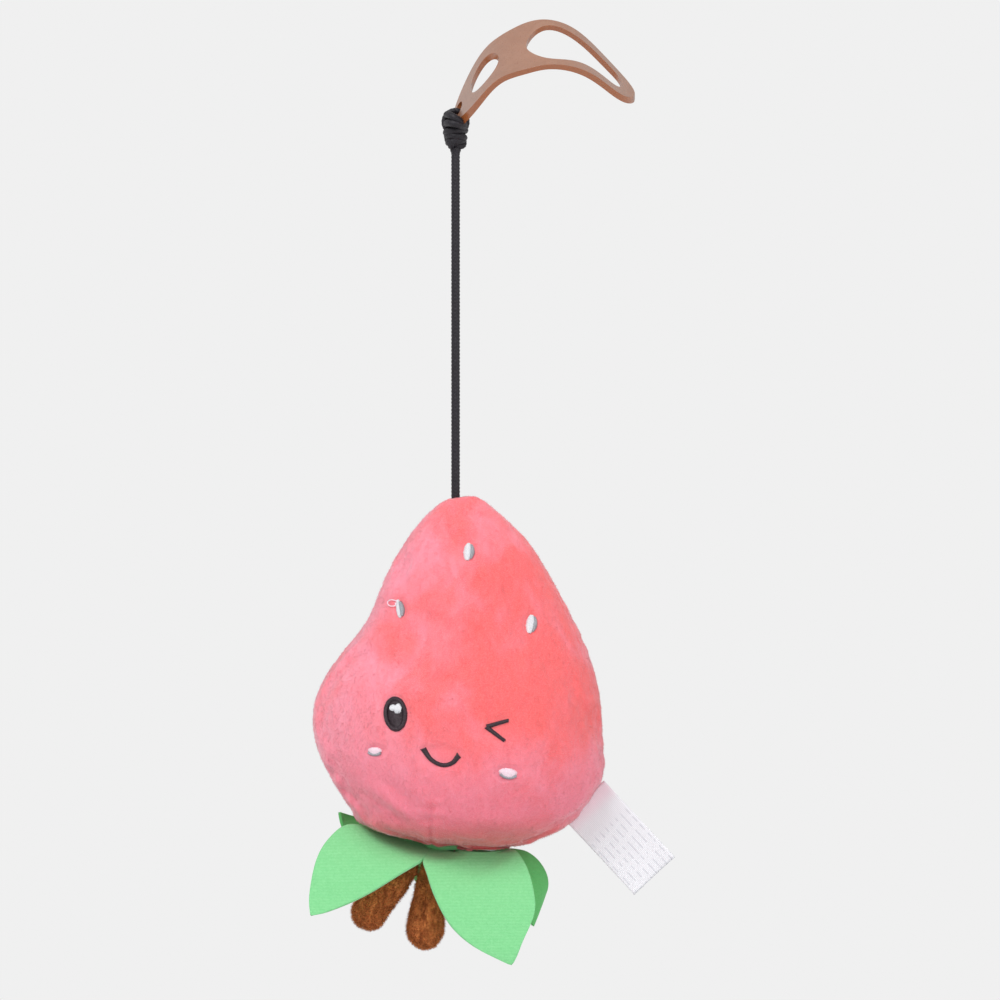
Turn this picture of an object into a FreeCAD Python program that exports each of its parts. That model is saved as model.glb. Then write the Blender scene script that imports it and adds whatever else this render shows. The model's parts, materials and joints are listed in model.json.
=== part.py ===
import FreeCAD, Part
import math
import os

# A plush strawberry that hangs from a clip on a rod. Millimetres, +Z up, +X to the right of the face,
# -Y the side that the face looks to. The origin is the point of the rod's axis under the clip's bridge.

# ---- driving dimensions ----
ROD_R = 4.9                 # the rod that the clip goes over
ROD_TILT = 3.74             # the rod rises towards +X, degrees
CLIP_ROLL = 40.0            # how far the clip is turned about the rod, degrees
CLIP_T = 2.0                # thickness of the moulded strap
TAB_HOLE_R = 2.6
TAB_END_U = -22.6           # end of the tab, along the rod
TAB_HOLE_U = -19.6

LOOP_R = 3.9                # the cord's loop through the tab's hole, to the strand's centre
STRAND_R = 1.05             # the loop's strand, pulled tight
KNOT_R = 4.2
KNOT_HALF = 4.6
KNOT_BASE = 9.7             # from the loop's centre down to the knot's base
CORD_R = 1.5
SOCKET_GAP = 0.06
FLARE = (2.5, 1.1, 1.5)     # the knot's mouth, where the cord sways: its two radii and its height
CORD_END_Z = -155.5
ANCHOR_R = 3.8

SKIN = 1.2                  # plush and its backing
PAD_GAP = 0.1               # between skin and stuffing
CORD_ENTRY_Z = -147.6
STITCH_T = 0.45             # how proud the embroidery stands
LAYER_GAP = 0.05            # between the skin and the embroidery, and between its layers
ENTRY_GAP = 0.7             # round the cord, where it goes into the body
THROAT_R = (2.4, 5.0)       # the stuffing's hollow along the cord, at the top and at the anchor knot
ANCHOR_ROOM = 3.6           # round the anchor knot, which rocks in the stuffing
AHEAD = 60.0                # flat shapes of the face are drawn this far in front of the seam
CUTTER = 40.0               # half the length of a cutting prism

# body outline: height, centre, half width, half depth
BODY = [
    (-146.4, -17.6, 4.0, 3.6),
    (-148.6, -17.9, 8.4, 7.2),
    (-153.0, -17.8, 13.8, 11.4),
    (-162.0, -16.8, 21.7, 16.6),
    (-176.0, -16.5, 29.8, 21.4),
    (-190.0, -15.8, 36.6, 25.4),
    (-204.0, -18.1, 44.7, 29.8),
    (-218.0, -20.0, 49.8, 33.0),
    (-232.0, -19.3, 50.5, 33.8),
    (-246.0, -16.8, 47.1, 32.0),
    (-256.0, -17.2, 41.0, 28.4),
    (-260.6, -17.8, 37.6, 26.0),
    (-263.6, -17.6, 32.0, 22.6),
    (-266.2, -15.6, 24.2, 18.0),
    (-268.3, -13.4, 16.4, 13.2),
    (-269.6, -11.6, 9.6, 8.4),
]

FELT_T = 1.6
CALYX_X = -29.0
CALYX_TOP_Z = -268.9        # the felt's middle is drawn up to the body, and its rim droops
CALYX_RIM_Z = -273.2
CALYX_TOP_R = 4.5
CALYX_R = 12.3
LEAF_ROOT_R = 13.6
LEAF_ROOT_Z = -273.6         # a little under the felt's middle, clear of the body

LEG_PIVOT_Z = -277.0        # middle of each leg's round sewn end
LEG_NECK_R = 3.5
LEG_SKIN = 1.1

LABEL_L = 34.6
LABEL_W = 19.5
LABEL_T = 0.5

V = FreeCAD.Vector
Y_AXIS = V(0, 1, 0)
Z_AXIS = V(0, 0, 1)

# ---- helpers ----


def curve(points):
    """An open smooth curve through the points."""
    line = Part.BSplineCurve()
    line.interpolate([V(*p) for p in points])
    return line


def loop_face(points):
    """A flat face inside one closed smooth curve through the points."""
    line = Part.BSplineCurve()
    line.interpolate(Points=[V(*p) for p in points], PeriodicFlag=True)
    return Part.Face(Part.Wire(line.toShape()))


def mirrored(half):
    """A closed outline from its upper half, (x, y), which starts and ends on y = 0."""
    return half + [(x, -y) for x, y in reversed(half[1:-1])]


def band(profile, thickness, width):
    """A strap of the profile (x, z), a smooth curve, as thick as stated and 2 * width wide along y."""
    middle = curve([(x, 0, z) for x, z in profile])
    first, last = middle.FirstParameter, middle.LastParameter
    sides = {1: [], -1: []}
    steps = 24
    for i in range(steps + 1):
        at = first + (last - first) * i / steps
        along = middle.tangent(at)[0]
        normal = V(-along.z, 0, along.x)
        for side in sides:
            sides[side].append(middle.value(at) + normal * (side * thickness / 2))
    top = curve([tuple(p) for p in sides[1]]).toShape()
    bottom = curve([tuple(p) for p in sides[-1]]).toShape()
    ends = [Part.makeLine(sides[1][i], sides[-1][i]) for i in (0, -1)]
    face = Part.Face(Part.Wire(Part.__sortEdges__([top, ends[1], bottom, ends[0]])))
    face.translate(V(0, -width, 0))
    return face.extrude(V(0, 2 * width, 0))


def prism(face):
    """The flat face in x, y made into a long prism along z."""
    low = face.copy()
    low.translate(V(0, 0, -CUTTER))
    return low.extrude(V(0, 0, 2 * CUTTER))


def body_loft(grow=0.0):
    """The body's outer shape, grown by some millimetres."""
    rings = []
    for row, (z, x, half_x, half_y) in enumerate(BODY):
        if row == 0:
            z += grow
        if row == len(BODY) - 1:
            z -= grow
        ring = Part.Ellipse(V(x, HANG_Y, z), half_x + grow, half_y + grow)
        rings.append(Part.Wire(ring.toShape()))
    return Part.makeLoft(rings, True)


def placed(shape, origin, x_dir, y_dir):
    """The shape moved from the world's axes to an origin and two directions."""
    x_dir = V(x_dir).normalize()
    z_dir = x_dir.cross(y_dir).normalize()
    y_dir = z_dir.cross(x_dir)
    matrix = FreeCAD.Matrix(
        x_dir.x, y_dir.x, z_dir.x, origin.x,
        x_dir.y, y_dir.y, z_dir.y, origin.y,
        x_dir.z, y_dir.z, z_dir.z, origin.z,
        0, 0, 0, 1,
    )
    out = shape.copy()
    out.transformShape(matrix, True)
    return out


def rod_frame(u, v, w):
    """A point of the clip's own frame, u along the rod, v across it and w off it, in the row's frame."""
    roll = math.radians(CLIP_ROLL)
    tilt = math.radians(ROD_TILT)
    y = v * math.cos(roll) - w * math.sin(roll)
    z = v * math.sin(roll) + w * math.cos(roll)
    return V(u * math.cos(tilt) - z * math.sin(tilt), y, u * math.sin(tilt) + z * math.cos(tilt))


def one_solid(shape):
    """The shape's largest solid."""
    return max(shape.Solids, key=lambda s: s.Volume)


# ---- clip ----

# the strap's middle line seen along its width, (along the rod, off the rod)
ARCH = [(-23.6, -19.7), (-18.4, -11.3), (-13.3, -3.1), (-5.5, 5.9), (2.0, 9.6), (10.5, 11.5), (20.0, 8.9),
        (30.0, -0.3), (41.6, -12.4)]
# half of the strap's flat outline, and of its right window, (along the rod, across it)
CLIP_HALF = [(TAB_END_U, 0), (-21.2, 4.9), (-17.6, 9.2), (-13.0, 11.9), (-5.0, 12.7), (3.0, 14.1),
             (11.0, 14.3), (20.0, 13.0), (30.0, 9.7), (36.5, 7.4), (40.4, 3.6), (41.4, 0)]
RIGHT_WINDOW_HALF = [(4.4, 0), (6.4, 5.8), (11.5, 10.2), (21.5, 8.4), (31.0, 5.6), (35.4, 3.9), (36.8, 0)]
LEFT_WINDOW = (-10.6, 5.2, 7.0)     # centre along the rod, and the ellipse's two half sizes
TAB_SLOPE = math.atan2(ARCH[1][1] - ARCH[0][1], ARCH[1][0] - ARCH[0][0])


def tab_point(u, v):
    """A point on the tab's middle plane, in the row's frame."""
    w = ARCH[0][1] + (u - ARCH[0][0]) * math.tan(TAB_SLOPE)
    return rod_frame(u, v, w)


def loop_centre():
    """The middle of the tab's bar, set off across the tab so that an upright loop meets the hole's middle."""
    across = rod_frame(0, 1, 0)
    face_normal = rod_frame(-math.sin(TAB_SLOPE), 0, math.cos(TAB_SLOPE))
    upright = Y_AXIS.cross(face_normal).normalize()
    bar_u = (TAB_END_U + TAB_HOLE_U - TAB_HOLE_R * math.cos(TAB_SLOPE)) / 2
    return tab_point(bar_u, -LOOP_R * abs(upright.dot(across)))


LOOP_C = loop_centre()
HANG_X, HANG_Y = LOOP_C.x, LOOP_C.y


def hanger_clip():
    strap = band(ARCH, CLIP_T, CUTTER)
    plan = prism(loop_face([(u, v, 0) for u, v in mirrored(CLIP_HALF)]))
    window = prism(loop_face([(u, v, 0) for u, v in mirrored(RIGHT_WINDOW_HALF)]))
    centre, half_u, half_v = LEFT_WINDOW
    round_window = Part.Ellipse(V(0, 0, 0), half_v, half_u).toShape()
    round_window.rotate(V(0, 0, 0), Z_AXIS, 90)
    round_window.translate(V(centre, 0, 0))
    left = prism(Part.Face(Part.Wire(round_window)))
    hole_w = ARCH[0][1] + (TAB_HOLE_U - ARCH[0][0]) * math.tan(TAB_SLOPE)
    across = V(-math.sin(TAB_SLOPE), 0, math.cos(TAB_SLOPE))
    hole = Part.makeCylinder(TAB_HOLE_R, 6 * CLIP_T, V(TAB_HOLE_U, 0, hole_w) - across * (3 * CLIP_T), across)
    clip = one_solid(strap.common(plan).cut([window, left, hole]))
    clip.rotate(V(0, 0, 0), V(1, 0, 0), CLIP_ROLL)
    clip.rotate(V(0, 0, 0), Y_AXIS, -ROD_TILT)
    return clip


# ---- cord ----

KNOT_BASE_Z = LOOP_C.z - KNOT_BASE


def cord_knot():
    loop = Part.makeTorus(LOOP_R, STRAND_R, LOOP_C, Y_AXIS)
    ball = Part.makeSphere(1.0)
    stretch = FreeCAD.Matrix()
    stretch.scale(KNOT_R, KNOT_R, KNOT_HALF)
    ball = ball.transformGeometry(stretch)
    ball.translate(V(LOOP_C.x, LOOP_C.y, KNOT_BASE_Z + KNOT_HALF - 1.0))
    room = Part.makeCylinder(LOOP_R, 4 * KNOT_R, LOOP_C - Y_AXIS * (2 * KNOT_R), Y_AXIS)
    side = 4 * KNOT_R
    below = Part.makeBox(side, side, side, V(LOOP_C.x - side / 2, LOOP_C.y - side / 2, KNOT_BASE_Z - side))
    base = V(LOOP_C.x, LOOP_C.y, KNOT_BASE_Z)
    socket = Part.makeSphere(CORD_R + SOCKET_GAP, base)
    flare = Part.makeCone(*FLARE, base, Z_AXIS)
    lump = ball.cut([room, below])
    return one_solid(lump.fuse(loop).cut([socket, flare]))


def cord():
    top = V(HANG_X, HANG_Y, KNOT_BASE_Z)
    tube = Part.makeCylinder(CORD_R, KNOT_BASE_Z - CORD_END_Z, top, -Z_AXIS)
    return one_solid(tube.fuse(Part.makeSphere(CORD_R, top)).removeSplitter())


def anchor_knot():
    """The knot inside the body. The cord's end turns in its bore."""
    ball = Part.makeSphere(ANCHOR_R, V(HANG_X, HANG_Y, CORD_END_Z))
    bore = Part.makeCylinder(CORD_R + SOCKET_GAP, 2 * ANCHOR_R,
                             V(HANG_X, HANG_Y, CORD_END_Z - SOCKET_GAP), Z_AXIS)
    return one_solid(ball.cut(bore))


# ---- body ----


def half_space(front):
    """A box over the front or the back half of the body."""
    wide, deep, high = 200.0, 80.0, 200.0
    y = HANG_Y - deep if front else HANG_Y
    return Part.makeBox(wide, deep, high, V(HANG_X - wide / 2, y, -320))


def panels(outer, inner):
    shell = outer.cut(inner)
    entry_base = V(HANG_X, HANG_Y, CORD_ENTRY_Z - 5 * SKIN)
    entry = Part.makeCylinder(CORD_R + ENTRY_GAP, 10 * SKIN, entry_base, Z_AXIS)
    shell = shell.cut(entry)
    return one_solid(shell.common(half_space(True))), one_solid(shell.common(half_space(False)))


def stuffing():
    """The fill, hollow where the anchor knot rocks, and where the cord reaches it."""
    fill = body_loft(-SKIN - PAD_GAP)
    room = Part.makeSphere(ANCHOR_R + ANCHOR_ROOM, V(HANG_X, HANG_Y, CORD_END_Z))
    throat_top = CORD_ENTRY_Z + 4.0
    throat = Part.makeCone(*THROAT_R, throat_top - CORD_END_Z, V(HANG_X, HANG_Y, throat_top), -Z_AXIS)
    return one_solid(fill.cut([room, throat]))


# ---- embroidery, on the front panel ----


def stitch_face(points):
    """A flat shape of the face, (x, z), to be pressed onto the front."""
    face = loop_face([(x, 0, z) for x, z in points])
    face.translate(V(0, HANG_Y - AHEAD, 0))
    return face


def oval(x, z, wide, high, lean=0.0):
    """An oval flat shape, leaning by degrees, clockwise as seen from the front."""
    ring = Part.Ellipse(V(0, 0, 0), max(wide, high) / 2, min(wide, high) / 2).toShape()
    face = Part.Face(Part.Wire(ring))
    if high > wide:
        face.rotate(V(0, 0, 0), Z_AXIS, 90)
    face.rotate(V(0, 0, 0), V(1, 0, 0), 90)
    face.rotate(V(0, 0, 0), Y_AXIS, lean)
    face.translate(V(x, HANG_Y - AHEAD, z))
    return face


def ribbon(points, width):
    """A line of stitching of the stated width along the points, (x, z)."""
    steps = 10
    line = curve([(x, 0, z) for x, z in points]) if len(points) > 2 else None
    sides = {1: [], -1: []}
    for i in range(steps + 1):
        if line:
            at = line.FirstParameter + (line.LastParameter - line.FirstParameter) * i / steps
            here, along = line.value(at), line.tangent(at)[0]
        else:
            first, last = V(points[0][0], 0, points[0][1]), V(points[1][0], 0, points[1][1])
            here, along = first + (last - first) * (i / steps), (last - first).normalize()
        normal = V(-along.z, 0, along.x)
        for side in sides:
            sides[side].append(here + normal * (side * width / 2))
    face = Part.Face(Part.makePolygon(sides[1] + sides[-1][::-1] + sides[1][:1]))
    face.translate(V(0, HANG_Y - AHEAD, 0))
    return face


def on_front(face, layer, behind=False):
    """The flat shape cut out of a thin layer over the skin."""
    if behind:
        face.translate(V(0, 2 * AHEAD, 0))
    return one_solid(layer.common(face.extrude(V(0, -AHEAD if behind else AHEAD, 0))))


EYE = (-41.0, -221.2)
SEEDS = {"seed_top": (-16.0, -165.9, 3.7, 6.0, 6), "seed_left": (-39.8, -185.6, 2.6, 6.3, -8),
         "seed_right": (5.6, -190.8, 3.7, 6.4, 8)}
BACK_SEEDS = {"seed_back_top": (-20.0, -170.0, 3.8, 6.3, 0), "seed_back_left": (-36.0, -200.0, 3.8, 6.3, -8),
              "seed_back_right": (2.0, -206.0, 3.8, 6.3, 8)}


def embroidery():
    first = body_loft(LAYER_GAP)
    layer = body_loft(LAYER_GAP + STITCH_T).cut(first)
    top_layer = body_loft(2 * LAYER_GAP + 1.6 * STITCH_T).cut(body_loft(2 * LAYER_GAP + STITCH_T))
    x, z = EYE
    out = {"eye": on_front(oval(x, z, 8.2, 12.0, 4), layer)}
    glint = stitch_face([(x + 0.2, z + 0.4), (x - 1.6, z + 2.2), (x - 0.9, z + 3.4), (x + 0.2, z + 2.9),
                         (x + 1.3, z + 3.4), (x + 2.0, z + 2.2)])
    out["eye_glint"] = on_front(glint, top_layer)
    corner = (-10.0, -225.4)
    upper = on_front(ribbon([corner, (-2.3, -223.3)], 1.5), layer)
    lower = on_front(ribbon([corner, (-3.6, -230.3)], 1.5), layer)
    out["wink"] = one_solid(upper.fuse(lower).removeSplitter())
    out["smile"] = on_front(ribbon([(-31.5, -232.8), (-28.8, -236.6), (-24.9, -238.5), (-21.5, -237.7),
                                    (-19.2, -235.0)], 1.5), layer)
    out["cheek_left"] = on_front(oval(-48.2, -234.1, 5.2, 2.5), layer)
    out["cheek_right"] = on_front(oval(-2.5, -241.3, 6.7, 3.2, 8), layer)
    for name, (sx, sz, wide, high, lean) in SEEDS.items():
        out[name] = on_front(oval(sx, sz, wide, high, lean), layer)
    for name, (sx, sz, wide, high, lean) in BACK_SEEDS.items():
        out[name] = on_front(oval(sx, sz, wide, high, lean), layer, behind=True)
    return out


# ---- calyx ----

# leaf: root azimuth, tip, half width, which way its face looks, how far its middle bows out
LEAVES = {
    "leaf_front_left": (221, (-70.2, -25.0, -290.7), 12.5, (-0.35, -1.0, 0.1), 4.0),
    "leaf_front_right": (293, (-1.4, -26.0, -307.4), 16.0, (0.1, -1.0, 0.2), 6.0),
    "leaf_right": (5, (6.3, 8.0, -298.0), 14.0, (1.0, -0.5, 0.3), 6.0),
    "leaf_back": (77, (-17.0, 30.0, -303.0), 14.0, (0.1, 1.0, 0.2), 6.0),
    "leaf_back_left": (149, (-62.3, 24.0, -259.6), 12.0, (-0.4, 0.3, 0.8), 2.0),
}


def calyx_centre():
    """The middle of the felt star: a shallow cone of felt."""
    height = CALYX_TOP_Z - CALYX_RIM_Z
    outside = Part.makeCone(CALYX_R, CALYX_TOP_R, height, V(CALYX_X, HANG_Y, CALYX_RIM_Z))
    inside = outside.copy()
    inside.translate(V(0, 0, -FELT_T))
    return one_solid(outside.cut(inside).cut(body_loft(0.1)))


def leaf(azimuth, tip, half, facing, bow):
    """One pointed felt leaf, bent over its length, from its root by the calyx's centre."""
    turn = math.radians(azimuth)
    root = V(CALYX_X + LEAF_ROOT_R * math.cos(turn), HANG_Y + LEAF_ROOT_R * math.sin(turn),
             LEAF_ROOT_Z)
    along = V(tip[0], HANG_Y + tip[1], tip[2]) - root
    length = along.Length
    outline = [(0.0, half * 0.36), (length * 0.2, half * 0.78), (length * 0.45, half),
               (length * 0.72, half * 0.74), (length * 0.92, half * 0.27), (length, 0)]
    edge = curve([(x, y, 0) for x, y in outline]).toShape()
    other = curve([(x, -y, 0) for x, y in outline]).toShape()
    root_edge = Part.makeLine(V(0, -outline[0][1], 0), V(0, outline[0][1], 0))
    flat = Part.Face(Part.Wire(Part.__sortEdges__([root_edge, edge, other])))
    strap = band([(0, 0), (length * 0.45, bow), (length, 0)], FELT_T, CUTTER)
    shape = one_solid(strap.common(prism(flat)))
    width = V(*facing).cross(along)
    return placed(shape, root, along, width)


# ---- legs ----

# leg: x of its sewn end, foot centre x and z, foot radius
LEGS = {"leg_left": (-37.4, -50.8, -291.9, 6.1), "leg_right": (-29.6, -31.4, -298.1, 6.6)}


def leg(top_x, foot_x, foot_z, foot_r, inset=0.0):
    """A drop-shaped leg: two balls and the cone that touches both, all smaller by the inset."""
    top = V(top_x, HANG_Y, LEG_PIVOT_Z)
    foot = V(foot_x, HANG_Y, foot_z)
    along = (foot - top).normalize()
    neck_r = LEG_NECK_R - inset
    end_r = foot_r - inset
    reach = (foot - top).Length
    lean = math.asin((end_r - neck_r) / reach)
    start = top - along * (neck_r * math.sin(lean))
    end = foot - along * (end_r * math.sin(lean))
    cone = Part.makeCone(neck_r * math.cos(lean), end_r * math.cos(lean), (end - start).Length, start, along)
    return one_solid(cone.fuse([Part.makeSphere(neck_r, top), Part.makeSphere(end_r, foot)]))


def leg_parts(name):
    skin = leg(*LEGS[name]).cut(leg(*LEGS[name], inset=LEG_SKIN))
    return {name: skin, name + "_stuffing": leg(*LEGS[name], inset=LEG_SKIN + PAD_GAP)}


# ---- label ----

LABEL_ROOT = V(26.3, 0, -255.3)     # the middle of its sewn edge, its y is the seam's
LABEL_DIR = V(0.68, 0, -0.73)


def care_label():
    plate = Part.makeBox(LABEL_L, LABEL_T, LABEL_W, V(0, -LABEL_T / 2, -LABEL_W / 2))
    turn = FreeCAD.Rotation(V(1, 0, 0), LABEL_DIR)
    plate.Placement = FreeCAD.Placement(V(LABEL_ROOT.x, HANG_Y, LABEL_ROOT.z), turn).multiply(plate.Placement)
    return plate


# ---- the whole toy ----


def build():
    outer = body_loft()
    inner = body_loft(-SKIN)
    front, back = panels(outer, inner)
    nodes = {
        "hanger_clip": hanger_clip(),
        "cord_knot": cord_knot(),
        "cord": cord(),
        "anchor_knot": anchor_knot(),
        "front_panel": front,
        "back_panel": back,
        "stuffing": stuffing(),
        "calyx_centre": calyx_centre(),
        "care_label": care_label(),
    }
    nodes.update(embroidery())
    for name, sizes in LEAVES.items():
        nodes[name] = leaf(*sizes)
    for name in LEGS:
        nodes.update(leg_parts(name))
    return nodes


os.makedirs("parts", exist_ok=True)
total = 0.0
for name, shape in build().items():
    shape.exportStep(os.path.join("parts", name + ".step"))
    box = shape.BoundBox
    total += shape.Volume
    print(f"{name:20s} {len(shape.Solids)} solid(s) valid {shape.isValid()} {shape.Volume:10.1f} mm3  "
          f"x {box.XMin:.1f} {box.XMax:.1f}  y {box.YMin:.1f} {box.YMax:.1f}  z {box.ZMin:.1f} {box.ZMax:.1f}")
print("loop centre", tuple(round(c, 3) for c in LOOP_C), "knot base", round(KNOT_BASE_Z, 3))
print("cord length", round(KNOT_BASE_Z - CORD_END_Z, 2))
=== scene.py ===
import json
import math

import bmesh
import bpy
import numpy as np
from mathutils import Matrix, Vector
from mathutils.bvhtree import BVHTree


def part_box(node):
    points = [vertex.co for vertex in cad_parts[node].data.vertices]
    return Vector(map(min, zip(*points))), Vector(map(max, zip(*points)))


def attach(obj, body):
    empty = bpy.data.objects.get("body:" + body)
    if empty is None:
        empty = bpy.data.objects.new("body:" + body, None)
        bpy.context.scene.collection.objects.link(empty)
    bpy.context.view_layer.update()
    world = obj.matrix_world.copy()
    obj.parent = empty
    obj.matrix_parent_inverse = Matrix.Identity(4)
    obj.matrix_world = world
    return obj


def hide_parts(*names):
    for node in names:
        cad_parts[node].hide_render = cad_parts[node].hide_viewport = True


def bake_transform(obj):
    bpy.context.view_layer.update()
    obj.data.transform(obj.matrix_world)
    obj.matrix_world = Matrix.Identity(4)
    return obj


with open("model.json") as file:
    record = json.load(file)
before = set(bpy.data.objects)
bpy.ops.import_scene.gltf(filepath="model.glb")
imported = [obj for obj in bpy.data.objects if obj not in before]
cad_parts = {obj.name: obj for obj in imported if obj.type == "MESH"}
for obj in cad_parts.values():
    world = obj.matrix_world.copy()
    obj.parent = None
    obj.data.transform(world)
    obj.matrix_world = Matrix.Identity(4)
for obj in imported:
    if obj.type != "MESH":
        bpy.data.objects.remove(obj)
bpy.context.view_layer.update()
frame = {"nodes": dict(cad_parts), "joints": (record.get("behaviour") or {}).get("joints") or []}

# A plush strawberry that hangs by a braided cord from a clip. Lengths here are in millimetres, and
# mesh_piece() turns them into metres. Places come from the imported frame: x to the right of the face,
# y to its back, z up.

MM = 0.001
JOINTS = {joint["name"]: joint for joint in frame["joints"]}


def joint_place(name):
    """A joint's point, in millimetres."""
    return np.array(JOINTS[name]["pos_m"]) / MM


def cad_box(node):
    """A CAD node's lowest and highest corner, in millimetres."""
    low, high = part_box(node)
    return np.array(low) / MM, np.array(high) / MM


LOOP = joint_place("knot_swing")            # middle of the cord's loop through the clip's tab
KNOT_BASE = joint_place("cord_sway")        # where the cord leaves the knot
CORD_ENTRY = joint_place("toy_rock")        # where the cord goes into the body
CORD_END = joint_place("toy_twist")         # its end, in the anchor knot
SEAM_Y = LOOP[1]                            # the plane of the body's side seam

# ---- camera ----

VIEW_DISTANCE = 1300.0
VIEW_WIDTH = 350.0                          # seen across at that distance
VIEW_X, VIEW_Z = -5.25, -148.0


def make_camera():
    data = bpy.data.cameras.new("camera")
    camera = bpy.data.objects.new("camera", data)
    bpy.context.scene.collection.objects.link(camera)
    camera.location = Vector((VIEW_X, SEAM_Y - VIEW_DISTANCE, VIEW_Z)) * MM
    camera.rotation_euler = (math.pi / 2, 0, 0)
    data.lens = data.sensor_width * VIEW_DISTANCE / VIEW_WIDTH
    bpy.context.scene.camera = camera


# ---- noise and lines ----


def cell_random(cells, seed):
    """A repeatable random number from 0 to 1 for each whole-number cell."""
    mixed = cells[:, 0] * 73856093 ^ cells[:, 1] * 19349663 ^ cells[:, 2] * 83492791 ^ seed * 49979687
    mixed = (mixed ^ (mixed >> 13)) * 1274126177
    mixed ^= mixed >> 16
    return (mixed & 0xFFFF) / 0xFFFF


def bumps(points, size, seed):
    """Smooth noise from -1 to 1, its bumps about `size` across, which may differ along x, y and z."""
    at = points / np.asarray(size, float)
    cell = np.floor(at).astype(np.int64)
    part = at - cell
    part = part * part * (3 - 2 * part)
    total = np.zeros(len(points))
    for corner in np.ndindex(2, 2, 2):
        share = np.prod(np.where(corner, part, 1 - part), axis=1)
        total += share * cell_random(cell + corner, seed)
    return total * 2 - 1


def soft_step(value, low, high):
    """0 at low, 1 at high, and a soft slope between them."""
    t = np.clip((value - low) / (high - low), 0, 1)
    return t * t * (3 - 2 * t)


def hill(distance, width):
    """1 at no distance, falling softly to 0 over about twice the width."""
    return np.exp(-(distance / width) ** 2)


def unit(vectors):
    lengths = np.linalg.norm(vectors, axis=-1, keepdims=True)
    return vectors / np.maximum(lengths, 1e-9)


def cubic(a, b, c, d, t):
    """A smooth curve from b at t = 0 to c at t = 1, between neighbours a and d."""
    return (b + t * (c - a) / 2 + t ** 2 * (a - 2.5 * b + 2 * c - d / 2)
            + t ** 3 * (1.5 * (b - c) + (d - a) / 2))


def run_along(line):
    """How far along a line each of its points is."""
    return np.concatenate([[0], np.cumsum(np.linalg.norm(np.diff(line, axis=0), axis=1))])


def evenly(line, count):
    """The same line with count evenly spaced points."""
    reach = run_along(line)
    wanted = np.linspace(0, reach[-1], count)
    return np.stack([np.interp(wanted, reach, column) for column in line.T], axis=1)


def smooth_line(points, count):
    """count evenly spaced points on a smooth line through the given ones."""
    p = np.asarray(points, float)
    p = np.vstack([2 * p[0] - p[1], p, 2 * p[-1] - p[-2]])
    t = np.linspace(0, 1, 24, endpoint=False)[:, None]
    runs = [cubic(a, b, c, d, t) for a, b, c, d in zip(p, p[1:], p[2:], p[3:])]
    return evenly(np.vstack(runs + [p[-2:-1]]), count)


# ---- meshes ----


def mesh_piece(name, points, faces, material):
    """A smooth mesh object. Its rest attribute holds each point's place at rest, for the material."""
    metres = np.asarray(points, float) * MM
    mesh = bpy.data.meshes.new(name)
    mesh.from_pydata(metres.tolist(), [], faces)
    weld = bmesh.new()
    weld.from_mesh(mesh)
    bmesh.ops.remove_doubles(weld, verts=weld.verts, dist=1e-7)
    weld.to_mesh(mesh)
    weld.free()
    places = np.zeros(len(mesh.vertices) * 3, np.float32)
    mesh.vertices.foreach_get("co", places)
    mesh.attributes.new("rest", "FLOAT_VECTOR", "POINT").data.foreach_set("vector", places)
    mesh.shade_smooth()
    mesh.materials.append(material)
    piece = bpy.data.objects.new(name, mesh)
    bpy.context.scene.collection.objects.link(piece)
    return piece


def apply_modifiers(piece):
    """The piece keeps the mesh that its modifiers make."""
    bpy.context.view_layer.update()
    seen = piece.evaluated_get(bpy.context.evaluated_depsgraph_get())
    mesh = bpy.data.meshes.new_from_object(seen)
    piece.modifiers.clear()
    piece.data = mesh
    return piece


def grid_faces(rows, columns, closed=False):
    """Quads over a grid of points, row by row. closed joins the last column to the first."""
    faces = []
    for i in range(rows - 1):
        for j in range(columns if closed else columns - 1):
            a = i * columns + j
            b = i * columns + (j + 1) % columns
            faces.append((a, b, b + columns, a + columns))
    return faces


def capped_faces(rows, sides):
    """Faces over a grid that closes round, with a flat cap at each end."""
    last = (rows - 1) * sides
    caps = [tuple(range(sides))[::-1], tuple(range(last, last + sides))]
    return grid_faces(rows, sides, closed=True) + caps


def tree_of(points, faces):
    return BVHTree.FromPolygons(np.asarray(points).tolist(), faces)


def tube(path, radius, sides):
    """Points and faces of a closed tube. radius is a number, one per point, or one per point and side."""
    path = np.asarray(path, float)
    tangents = unit(np.gradient(path, axis=0))
    across = np.cross(tangents[0], (0.0, 0.0, 1.0) if abs(tangents[0][2]) < 0.8 else (0.0, 1.0, 0.0))
    first = []
    for tangent in tangents:
        across = unit(across - tangent * (across @ tangent))
        first.append(across)
    first = np.array(first)
    second = np.cross(tangents, first)
    reach = np.zeros((len(path), sides)) + (np.asarray(radius)[:, None] if np.ndim(radius) == 1 else radius)
    angles = np.arange(sides) * (2 * math.pi / sides)
    points = (path[:, None] + first[:, None] * (np.cos(angles) * reach)[..., None]
              + second[:, None] * (np.sin(angles) * reach)[..., None])
    return points.reshape(-1, 3), capped_faces(len(path), sides)


class Parts:
    """Points and faces of many small shapes that become one piece."""

    def __init__(self):
        self.points, self.faces, self.count = [], [], 0

    def add(self, points, faces):
        self.points.append(np.asarray(points, float))
        self.faces += [tuple(k + self.count for k in face) for face in faces]
        self.count += len(points)

    def piece(self, name, material):
        return mesh_piece(name, np.vstack(self.points), self.faces, material)


# ---- materials ----


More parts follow.
